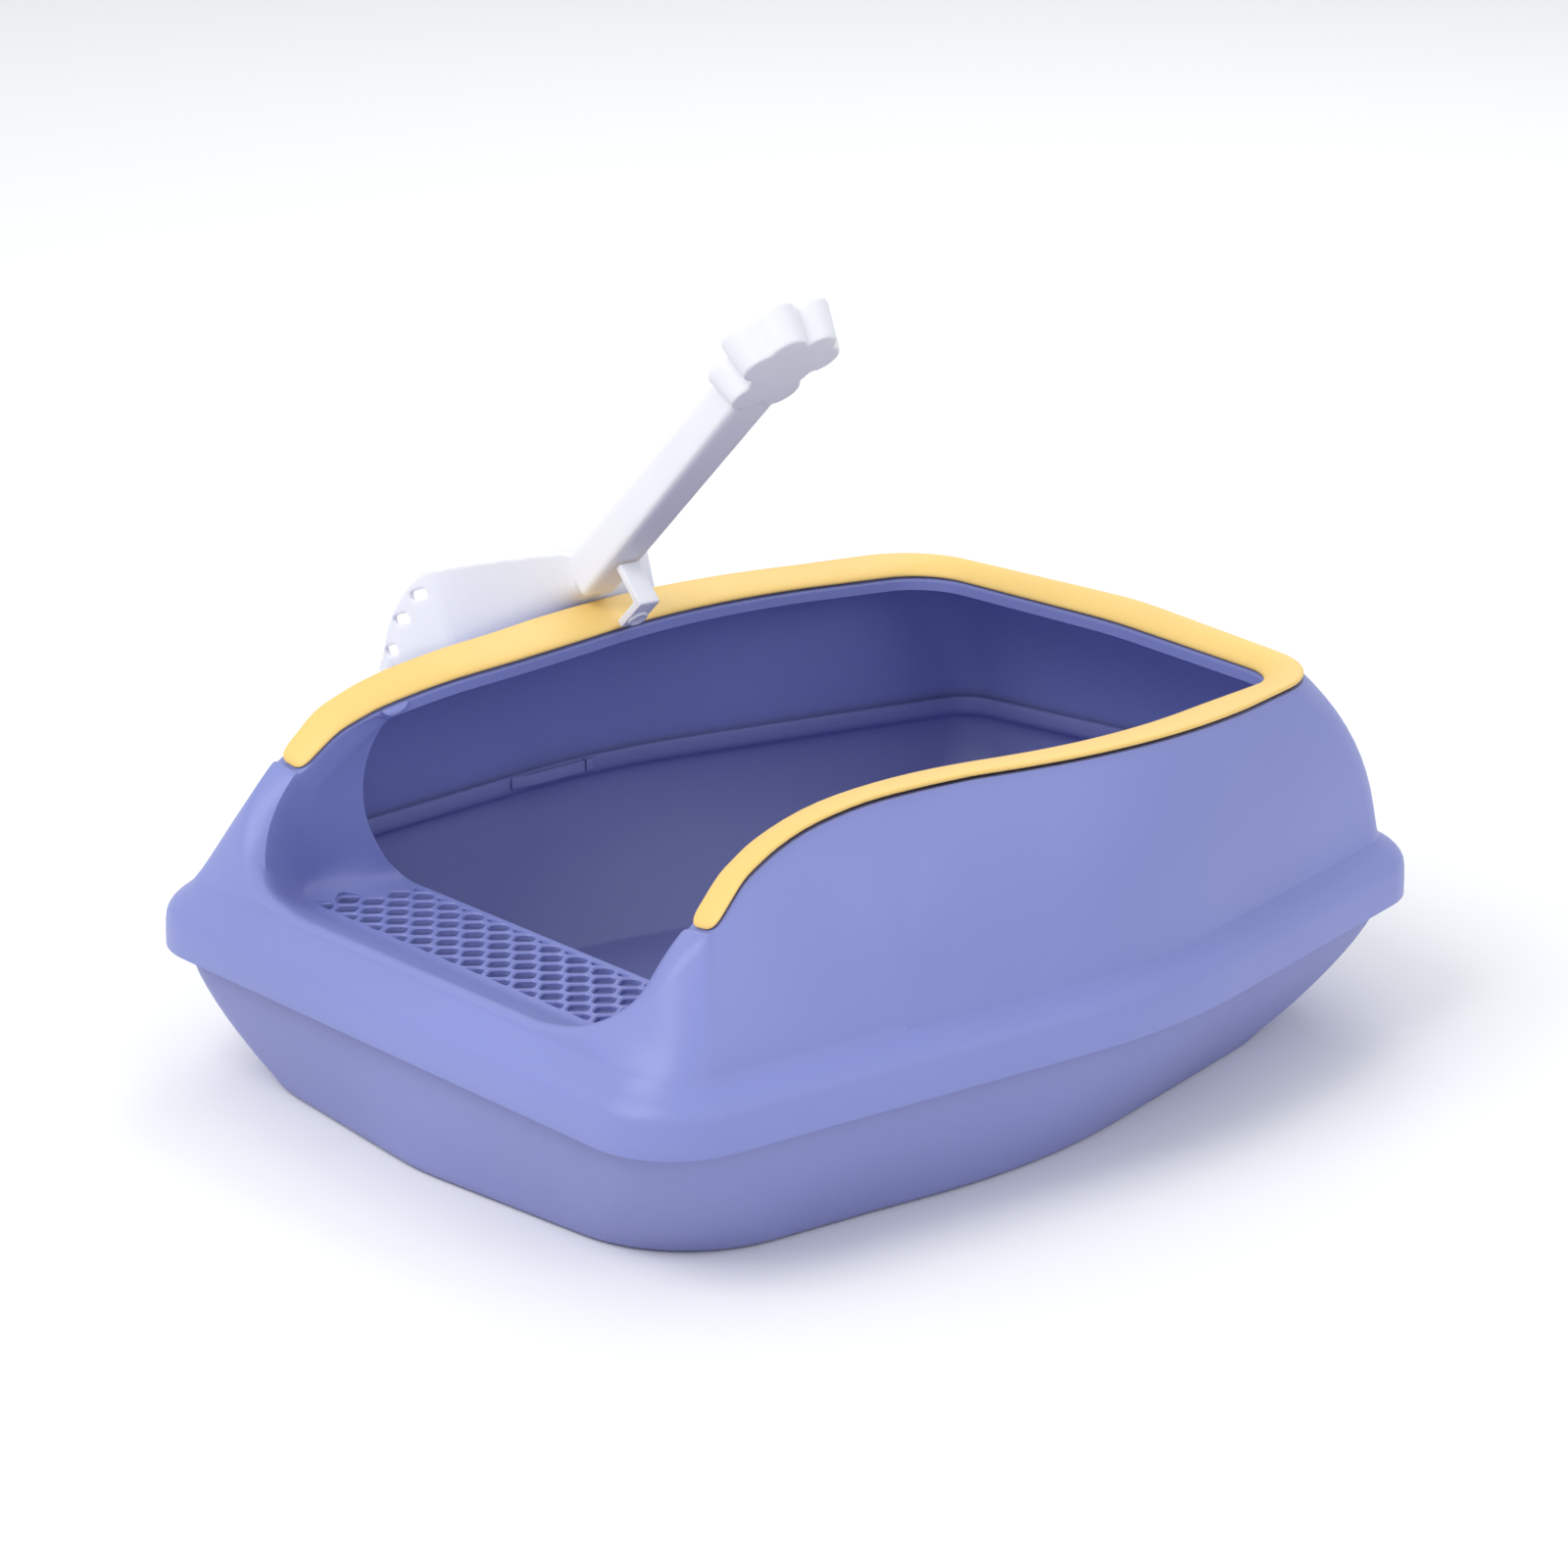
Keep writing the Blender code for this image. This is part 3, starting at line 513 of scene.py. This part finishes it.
def hex_corners(y):
    """One hole's corners about its centre, cut off at the edge of the field."""
    low, high = ((limit - y) / HEX_HALF_Y for limit in HEX_RANGE_Y)
    levels = [max(-1.0, low), min(1.0, high)]
    if levels[0] < -0.01 and levels[1] > 0.01:
        levels.insert(1, 0.0)
    side = [(1 - (1 - HEX_FLAT) * abs(v), v) for v in levels]
    return [Vector((u * HEX_HALF_X, v * HEX_HALF_Y))
            for u, v in side + [(-u, v) for u, v in reversed(side)]]


def rounded(corners, reach, steps):
    """Closed outline with each corner replaced by a short curve."""
    line = []
    for i, p in enumerate(corners):
        before, after = corners[i - 1], corners[(i + 1) % len(corners)]
        cut = min(reach, 0.45 * (before - p).length, 0.45 * (after - p).length)
        start = p + (before - p).normalized() * cut
        end = p + (after - p).normalized() * cut
        for k in range(steps + 1):
            t = k / steps
            line.append(start * (1 - t) ** 2 + p * 2 * t * (1 - t) + end * t * t)
    return line


def hex_cutter():
    """All the step's holes as one set of prisms that flare at the top surface."""
    bm = bmesh.new()
    # height over the step's top, and growth of the outline there
    levels = [(HEX_LOW, 0.0), (-HEX_CHAMFER, 0.0), (HEX_CHAMFER * 0.2, HEX_CHAMFER * 1.2),
              (HEX_HIGH, HEX_CHAMFER * 1.2)]
    for row in range(HEX_ROWS):
        y = HEX_FIRST_Y + row * HEX_PITCH_Y
        shift = HEX_SHIFT_X + (row % 2) * HEX_PITCH_X / 2
        outline = rounded(hex_corners(y), HEX_ROUND, 3)
        middle = sum(outline, Vector((0, 0))) / len(outline)
        for n in range(-HEX_LAST_N, HEX_LAST_N):
            x = n * HEX_PITCH_X + shift
            if abs(x) + HEX_HALF_X > step_half_width(y):
                continue
            rings = []
            for rise, grow in levels:
                ring = []
                for p in outline:
                    q = p + (p - middle).normalized() * grow
                    ring.append(Vector((x + q.x, y + q.y, STEP_Z + rise)))
                rings.append(ring)
            tube(bm, rings)
    return make_object("step_holes", bm)


def make_hood(material):
    bm = bmesh.new()
    rows = hood_rings()
    rings = skin(bm, [mirror_loop(loop) for loop, _ in rows])
    for ring, (_, amount) in zip(rings, rows):
        if amount:
            crease(bm, ring, amount)
    hood = make_object("hood_shell", bm)
    subdivide(hood, 1)
    thicken(hood, WALL)
    round_edges(hood, EDGE_ROUND)
    holes = hex_cutter()
    combine(hood, holes, "DIFFERENCE")
    bake(hood, [holes], SHARP_ANGLE)
    dress(hood, "hood", "cover", material)


# ---------------------------------------------------------------------------- tub
def tub_rings():
    """Half loops of the tub from the middle of its underside to its rim."""
    skirt = half_outline(SKIRT_LINE, SKIRT_ROUND)
    base = half_outline(BASE_LINE, BASE_ROUND)
    top = inset(skirt, TUB_INSET)
    rings = [[Vector((p.x, p.y, z)) for p in inset(base, depth)] for depth, z in TUB_FOOT]
    foot_z = TUB_FOOT[-1][1]
    for share in TUB_SHARES:
        z = lerp(foot_z, SKIRT_Z, share)
        spread = 1 - max(0.0, 1 - z / SKIRT_Z) ** TUB_BELLY
        rings.append([Vector((p.x, p.y, z)) for p in between(base, top, spread)])
    return rings + level_rings(skirt, TUB_RIM)


def make_tub(material):
    bm = bmesh.new()
    rings = skin(bm, [mirror_loop(loop) for loop in tub_rings()])
    floor = rings[0]
    for i in range(len(floor) // 2):
        corners = []
        for v in (floor[i], floor[i + 1], floor[-i - 1], floor[-i]):
            if v not in corners:
                corners.append(v)
        bm.faces.new(corners)
    tub = make_object("tub_shell", bm)
    subdivide(tub, 1)
    thicken(tub, WALL)
    round_edges(tub, EDGE_ROUND)
    bake(tub, [], SHARP_ANGLE)
    dress(tub, "tub", "base", material)


def make_wall_rib(name, side, from_y, to_y, fullness, material):
    """Low rib on the inner face of the tub's side wall, ramped where it isn't full."""
    depth, _, _ = TUB_RIM[-1]
    wall = inset(half_outline(SKIRT_LINE, SKIRT_ROUND), depth + WALL)
    spots = [p for p in wall if from_y - RIB_MARGIN < p.y < to_y + RIB_MARGIN]
    first, last = spots[0], spots[-1]
    along = (last - first).normalized()
    inwards = Vector((-along.y, along.x))
    bm = bmesh.new()
    rings = []
    for k, full in enumerate(fullness):
        y = lerp(from_y, to_y, k / (len(fullness) - 1))
        spot = first + along * ((y - first.y) / along.y)
        proud = lerp(-RIB_ROOT * 0.5, RIB_PROUD, full)
        ring = []
        for push, rise in ((-RIB_ROOT, -0.5), (proud, -0.5), (proud, 0.5), (-RIB_ROOT, 0.5)):
            p = spot + inwards * push
            ring.append(Vector((p.x * side, p.y, RIB_Z + rise * RIB_HIGH)))
        rings.append(ring)
    tube(bm, rings)
    rib = make_object(name, bm)
    round_edges(rib, 0.0004)
    bake(rib, [], SHARP_ANGLE)
    dress(rib, None, "base", material)


def make_snap(side, material):
    """Snap tab of the tub wall, and the short catch behind it."""
    where = "left" if side < 0 else "right"
    catch_y = TAB_TO_Y + CATCH_GAP
    make_wall_rib(f"snap_tab_{where}", side, TAB_FROM_Y, TAB_TO_Y, TAB_FULLNESS, material)
    make_wall_rib(f"snap_catch_{where}", side, catch_y, catch_y + CATCH_LENGTH,
                  CATCH_FULLNESS, material)


# --------------------------------------------------------------------------- trim
def trim_stations():
    """Pairs of outer and inner edge points along the trim, and how full it is there."""
    rim, _, band = rim_loops(0.0)
    half = list(zip(rim, band))[TRIM_FIRST:]
    stations = []
    for k, full in ((0.06, 0.25), (0.09, 0.58), (0.15, 0.80), (0.26, 0.95), (0.45, 1.0)):
        pair = tuple(a.lerp(b, k * FINE) for a, b in zip(half[0], half[1]))
        stations.append((*pair, full))
    stations += [(outer, inner, 1.0) for outer, inner in half[1:]]
    other = [(Vector((-a.x, a.y, a.z)), Vector((-b.x, b.y, b.z)), full)
             for a, b, full in reversed(stations[:-1])]
    return stations + other


def make_trim(material):
    """Crowned band over the hood rim, with rounded ends."""
    bm = bmesh.new()
    rings = []
    for outer, inner, full in trim_stations():
        ring = []
        for k in range(TRIM_SEGMENTS + 1):
            turn = math.pi * k / TRIM_SEGMENTS
            across = 0.5 - 0.5 * math.cos(turn)
            rise = TRIM_CROWN * math.sin(turn) ** 0.9 - TRIM_SINK
            ring.append(outer.lerp(inner, across) + Vector((0, 0, rise)))
        for across, drop in ((0.98, 0.75), (0.90, 1.0), (0.5, 1.0), (0.1, 1.0), (0.02, 0.75)):
            ring.append(outer.lerp(inner, across) - Vector((0, 0, TRIM_THICK * drop)))
        middle = outer.lerp(inner, 0.5) - Vector((0, 0, TRIM_THICK * 0.5))
        rings.append([middle + (p - middle) * full for p in ring])
    tube(bm, rings)
    trim = make_object("soft_trim", bm)
    subdivide(trim, 1)
    bake(trim, [], 45)
    dress(trim, "rim_trim", "cover", material)


# -------------------------------------------------------------------------- scoop
def scoop_frame():
    """Handle direction, outward direction across the handle, and width direction."""
    along = HANDLE_DIR
    side = (SCOOP_SIDE - along * SCOOP_SIDE.dot(along)).normalized()
    outward = along.cross(side)
    return along, outward, side


def frame_matrix(origin, x_axis, y_axis, z_axis):
    grid = Matrix((x_axis, y_axis, z_axis)).transposed().to_4x4()
    grid.translation = origin
    return grid


def pan_half_width(s):
    """Half width of the pan at a distance from its root: neck, shoulder, sides, tip."""
    if s < PAN_NECK:
        return lerp(HANDLE_WIDE / 2, PAN_HALF_WIDE, smooth(s / PAN_NECK) ** 0.9)
    along = (s - PAN_TAPER_FROM) / (PAN_LENGTH - PAN_TAPER_FROM)
    return PAN_HALF_WIDE - PAN_TAPER * max(0.0, along) ** 2


def pan_rim(s):
    """Height of the pan's rim over the line of the handle's back: an arch, then a dip."""
    arch = PAN_ARCH * math.sin(math.pi * min(1.0, max(0.0, s / PAN_ARCH_LENGTH)))
    return arch - PAN_DIP * smooth((s - PAN_DIP_FROM) / (PAN_LENGTH + 0.015 - PAN_DIP_FROM))


def pan_floor(s):
    """Height of the pan's underside, from the handle's face down to its floor."""
    return lerp(-HANDLE_DEEP, PAN_FLOOR, smooth(s / 0.034))


def pan_section(s, inward, above):
    """U-shaped section of the pan, from its right rim round to its left one."""
    half = pan_half_width(s) - inward
    top = pan_rim(s) + above
    keel = pan_floor(s) + inward
    corner = min(PAN_CORNER, half * 0.7, (top - above - keel) * 0.8)
    right = [(half, top), (half - PAN_FLARE, keel + corner)]
    for step in range(1, 7):
        turn = math.radians(15 * step)
        right.append((half - PAN_FLARE - corner * (1 - math.cos(turn)),
                      keel + corner * (1 - math.sin(turn))))
    return right + [(-v, z) for v, z in reversed(right)]


def pan_body(name, first, last, count, inward, above, frame):
    """Closed loft of the pan's outside, or of the hollow inside it."""
    bm = bmesh.new()
    rings = []
    for k in range(count + 1):
        s = lerp(first, last, k / count)
        rings.append([frame @ Vector((s, v, z)) for v, z in pan_section(s, inward, above)])
    tube(bm, rings)
    bmesh.ops.triangulate(bm, faces=bm.faces)
    return make_object(name, bm)


def rounded_bar(name, ends, radius, frame):
    """Bar along local x with rounded corners; ends give (x, width, depth)."""
    bm = bmesh.new()
    rings = []
    for x, width, depth in ends:
        ring = []
        for cx, cy, first in ((1, 1, 0), (-1, 1, 90), (-1, -1, 180), (1, -1, 270)):
            for step in range(6):
                turn = math.radians(first + step * 18)
                v = cx * (width / 2 - radius) + radius * math.cos(turn)
                t = cy * (depth / 2 - radius) + radius * math.sin(turn)
                ring.append(frame @ Vector((x, v, t)))
        rings.append(ring)
    tube(bm, rings)
    bmesh.ops.triangulate(bm, faces=bm.faces)
    return make_object(name, bm)


# Paw end of the handle: lobe centres (along, across) and radii, going round.
PAW_LOBES = [(0.0100, 0.0090, 0.0100), (0.0345, 0.0168, 0.0103), (0.0448, 0.0088, 0.0100),
             (0.0448, -0.0088, 0.0100), (0.0345, -0.0168, 0.0103), (0.0100, -0.0090, 0.0100)]
PAW_MIDDLE = Vector((0.0260, 0.0))
PAW_PALM = 0.0175               # radius of the disc between the lobes


def paw_outline(steps):
    """Outer edge of the lobes, seen square to the handle, by direction from the middle."""
    points = []
    for k in range(steps):
        turn = 2 * math.pi * k / steps
        ray = Vector((math.cos(turn), math.sin(turn)))
        reach = PAW_PALM
        for along, across, radius in PAW_LOBES:
            centre = Vector((along, across)) - PAW_MIDDLE
            near = centre.dot(ray)
            off = centre.length_squared - near * near
            if off < radius * radius:
                reach = max(reach, near + math.sqrt(radius * radius - off))
        points.append(PAW_MIDDLE + ray * reach)
    return points


def paw(frame):
    """Rounded disc of lobes, softer on its top face."""
    bm = bmesh.new()
    rings = []
    outline = paw_outline(120)
    # height across the paw, and size of the outline there
    for t, scale in ((-PAW_DEEP / 2, 0.87), (PAW_DEEP / 2 - 0.0020, 1.0),
                     (PAW_DEEP / 2 - 0.0006, 0.985), (PAW_DEEP / 2, 0.94)):
        rings.append([frame @ (PAW_MIDDLE.lerp(p, scale).to_3d() + Vector((0, 0, t)))
                      for p in outline])
    tube(bm, rings)
    bmesh.ops.triangulate(bm, faces=bm.faces)
    return make_object("paw", bm)


def oval(half_long, half_wide):
    """Slot outline with round ends."""
    shape = []
    for k in range(20):
        turn = math.radians(9 + 18 * k)
        grow = half_long - half_wide
        shape.append((math.copysign(grow, math.cos(turn)) + half_wide * math.cos(turn),
                      half_wide * math.sin(turn)))
    return shape


def slot_cutter(frame):
    """Sifting slots along the pan's floor and three short ones in each flank."""
    bm = bmesh.new()

    def prism(points, push):
        tube(bm, [[frame @ (p - push) for p in points], [frame @ (p + push) for p in points]])

    for row in (0, 1):
        for n in range(-4, 5):
            centre = Vector((0.044 + 0.029 * row, n * 0.0088, PAN_FLOOR))
            prism([centre + Vector((a, b, 0)) for a, b in oval(0.0115, 0.0019)],
                  Vector((0, 0, 0.006)))
    for s in (0.046, 0.063, 0.080):
        centre = Vector((s, 0, pan_rim(s) - 0.0070))
        prism([centre + Vector((a, 0, b)) for a, b in oval(0.0062, 0.0022)],
              Vector((0, 0.07, 0)))
    bmesh.ops.triangulate(bm, faces=bm.faces)
    return make_object("scoop_slots", bm)


def make_scoop(material):
    along, outward, side = scoop_frame()
    handle = frame_matrix(SCOOP_ROOT, along, side, outward)
    pan_x = Vector((-math.cos(PAN_DROP), 0, -math.sin(PAN_DROP)))
    pan_z = Vector((-math.sin(PAN_DROP), 0, math.cos(PAN_DROP)))
    back = SCOOP_ROOT + outward * (HANDLE_DEEP / 2)
    pan = frame_matrix(back, pan_x, pan_z.cross(pan_x), pan_z)
    end = frame_matrix(SCOOP_ROOT + along * HANDLE_LENGTH, along, side, outward)
    scoop = rounded_bar("scoop_body", [(-0.006, HANDLE_WIDE, HANDLE_DEEP),
                                       (HANDLE_LENGTH + 0.02, HANDLE_WIDE * HANDLE_FLARE,
                                        HANDLE_DEEP * HANDLE_TAPER)], 0.003, handle)
    tools = [paw(end), pan_body("pan", 0.0, PAN_LENGTH, 30, 0.0, 0.0, pan),
             pan_body("pan_hollow", 0.012, PAN_LENGTH + 0.012, 28, PAN_WALL, 0.02, pan),
             slot_cutter(pan)]
    for tool, operation in zip(tools, ("UNION", "UNION", "DIFFERENCE", "DIFFERENCE")):
        combine(scoop, tool, operation)
    soften = scoop.modifiers.new("Even skin", "REMESH")
    soften.mode = "VOXEL"
    soften.voxel_size = SCOOP_VOXEL
    relax = scoop.modifiers.new("Soft edges", "SMOOTH")
    relax.factor = 0.5
    relax.iterations = 5
    bake(scoop, tools, 180)
    dress(scoop, "scoop", "scooper", material)


def hook_frame():
    """Local axes of the hook: along the handle, across it, and away from its face."""
    along, outward, side = scoop_frame()
    face = SCOOP_ROOT + along * HOOK_ALONG - outward * (HANDLE_DEEP / 2 + GAP)
    return frame_matrix(face, along, side, -outward)


def make_hook(material):
    """L-shaped hanger under the handle: an arm and a finger."""
    frame = hook_frame()
    reach = HOOK_REACH + HOOK_THICK
    corners = [Vector(p) for p in ((0.0, 0.0), (0.0, HOOK_REACH), (-HOOK_FINGER, HOOK_REACH),
                                   (-HOOK_FINGER, reach), (HOOK_THICK, reach),
                                   (HOOK_THICK, 0.0))]
    outline = rounded(corners, HOOK_ROUND, 4)
    bm = bmesh.new()
    tube(bm, [[frame @ Vector((p.x, v, p.y)) for p in outline]
              for v in (-HOOK_WIDE / 2, HOOK_WIDE / 2)])
    hook = make_object("rim_hook", bm)
    round_edges(hook, 0.0005, 3)
    bake(hook, [], SHARP_ANGLE)
    dress(hook, "scoop_hook", "scooper", material)


def make_hook_pad(material):
    """Round dished pad on the outer face of the hook's finger."""
    frame = hook_frame()
    middle = Vector((PAD_ALONG, 0, HOOK_REACH + HOOK_THICK))
    # radius and height over the finger's face, from the rim to the dished middle
    profile = [(1.0, -0.0003), (1.0, 0.0006), (0.90, 0.0010), (0.72, 0.0010), (0.60, 0.0005),
               (0.30, 0.0004)]
    bm = bmesh.new()
    rings = []
    for share, height in profile:
        ring = []
        for k in range(PAD_SIDES):
            turn = 2 * math.pi * k / PAD_SIDES
            spot = Vector((math.cos(turn), math.sin(turn), 0)) * PAD_RADIUS * share
            ring.append(frame @ (middle + spot + Vector((0, 0, height))))
        rings.append(ring)
    tube(bm, rings)
    pad = make_object("hook_pad", bm)
    round_edges(pad, 0.0002)
    bake(pad, [], 50)
    dress(pad, None, "scooper", material)


# ------------------------------------------------------------ room, light, camera
def make_floor():
    material = bpy.data.materials.new("pale floor")
    material.use_nodes = True
    nodes, links = material.node_tree.nodes, material.node_tree.links
    shader = nodes["Principled BSDF"]
    shader.inputs["Roughness"].default_value = 0.85
    cloud = nodes.new("ShaderNodeTexNoise")
    cloud.inputs["Scale"].default_value = 0.6
    shade = nodes.new("ShaderNodeValToRGB")
    shade.color_ramp.elements[0].color = (0.90, 0.90, 0.905, 1)
    shade.color_ramp.elements[1].color = (0.93, 0.93, 0.93, 1)
    links.new(cloud.outputs["Fac"], shade.inputs["Fac"])
    links.new(shade.outputs["Color"], shader.inputs["Base Color"])
    bm = bmesh.new()
    corners = ((-1, -1), (1, -1), (1, 1), (-1, 1))
    bm.faces.new([bm.verts.new((x * FLOOR_HALF, y * FLOOR_HALF, 0)) for x, y in corners])
    mesh = bpy.data.meshes.new("floor")
    bm.to_mesh(mesh)
    bm.free()
    mesh.materials.append(material)
    floor = bpy.data.objects.new("floor", mesh)
    bpy.context.collection.objects.link(floor)


def make_area_light(name, place, size, watts, colour):
    lamp = bpy.data.lights.new(name, "AREA")
    lamp.shape = "DISK"
    lamp.size = size
    lamp.energy = watts
    lamp.color = colour
    light = bpy.data.objects.new(name, lamp)
    light.location = place
    light.rotation_euler = (Vector(LIGHT_AIM) - Vector(place)).to_track_quat("-Z", "Y").to_euler()
    bpy.context.collection.objects.link(light)


def make_light():
    world = bpy.data.worlds.new("studio")
    world.use_nodes = True
    backdrop = world.node_tree.nodes["Background"]
    backdrop.inputs["Color"].default_value = WORLD_COLOUR
    backdrop.inputs["Strength"].default_value = WORLD_STRENGTH
    bpy.context.scene.world = world
    bpy.context.scene.view_settings.view_transform = "Standard"
    for lamp in LAMPS:
        make_area_light(*lamp)


def make_camera():
    lens = bpy.data.cameras.new("camera")
    lens.lens = CAMERA_LENS
    lens.sensor_width = CAMERA_SENSOR
    lens.clip_start = 0.05
    lens.clip_end = 50
    flat = math.cos(CAMERA_ELEVATION)
    back = Vector((math.sin(CAMERA_AZIMUTH) * flat, -math.cos(CAMERA_AZIMUTH) * flat,
                   math.sin(CAMERA_ELEVATION)))
    camera = bpy.data.objects.new("camera", lens)
    camera.location = CAMERA_TARGET + back * CAMERA_DISTANCE
    camera.rotation_euler = (-back).to_track_quat("-Z", "Y").to_euler()
    bpy.context.collection.objects.link(camera)
    bpy.context.scene.camera = camera


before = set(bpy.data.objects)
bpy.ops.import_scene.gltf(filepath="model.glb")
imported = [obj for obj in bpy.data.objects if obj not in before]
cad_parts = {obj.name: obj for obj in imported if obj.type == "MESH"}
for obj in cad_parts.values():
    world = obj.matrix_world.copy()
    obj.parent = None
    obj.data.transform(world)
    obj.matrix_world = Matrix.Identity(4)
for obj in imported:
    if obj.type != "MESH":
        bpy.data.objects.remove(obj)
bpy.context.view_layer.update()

hood_plastic = moulded("periwinkle plastic", HOOD_COLOUR, 0.42, 30.0, 0.10)
tub_plastic = moulded("periwinkle tub plastic", TUB_COLOUR, 0.46, 30.0, 0.10)
trim_plastic = moulded("soft yellow trim", TRIM_COLOUR, 0.52, 60.0, 0.14)
scoop_plastic = moulded("white scoop plastic", SCOOP_COLOUR, 0.38, 40.0, 0.06)
make_tub(tub_plastic)
for side in (-1, 1):
    make_snap(side, tub_plastic)
make_hood(hood_plastic)
make_trim(trim_plastic)
make_scoop(scoop_plastic)
make_hook(scoop_plastic)
make_hook_pad(scoop_plastic)
make_floor()
make_light()
make_camera()
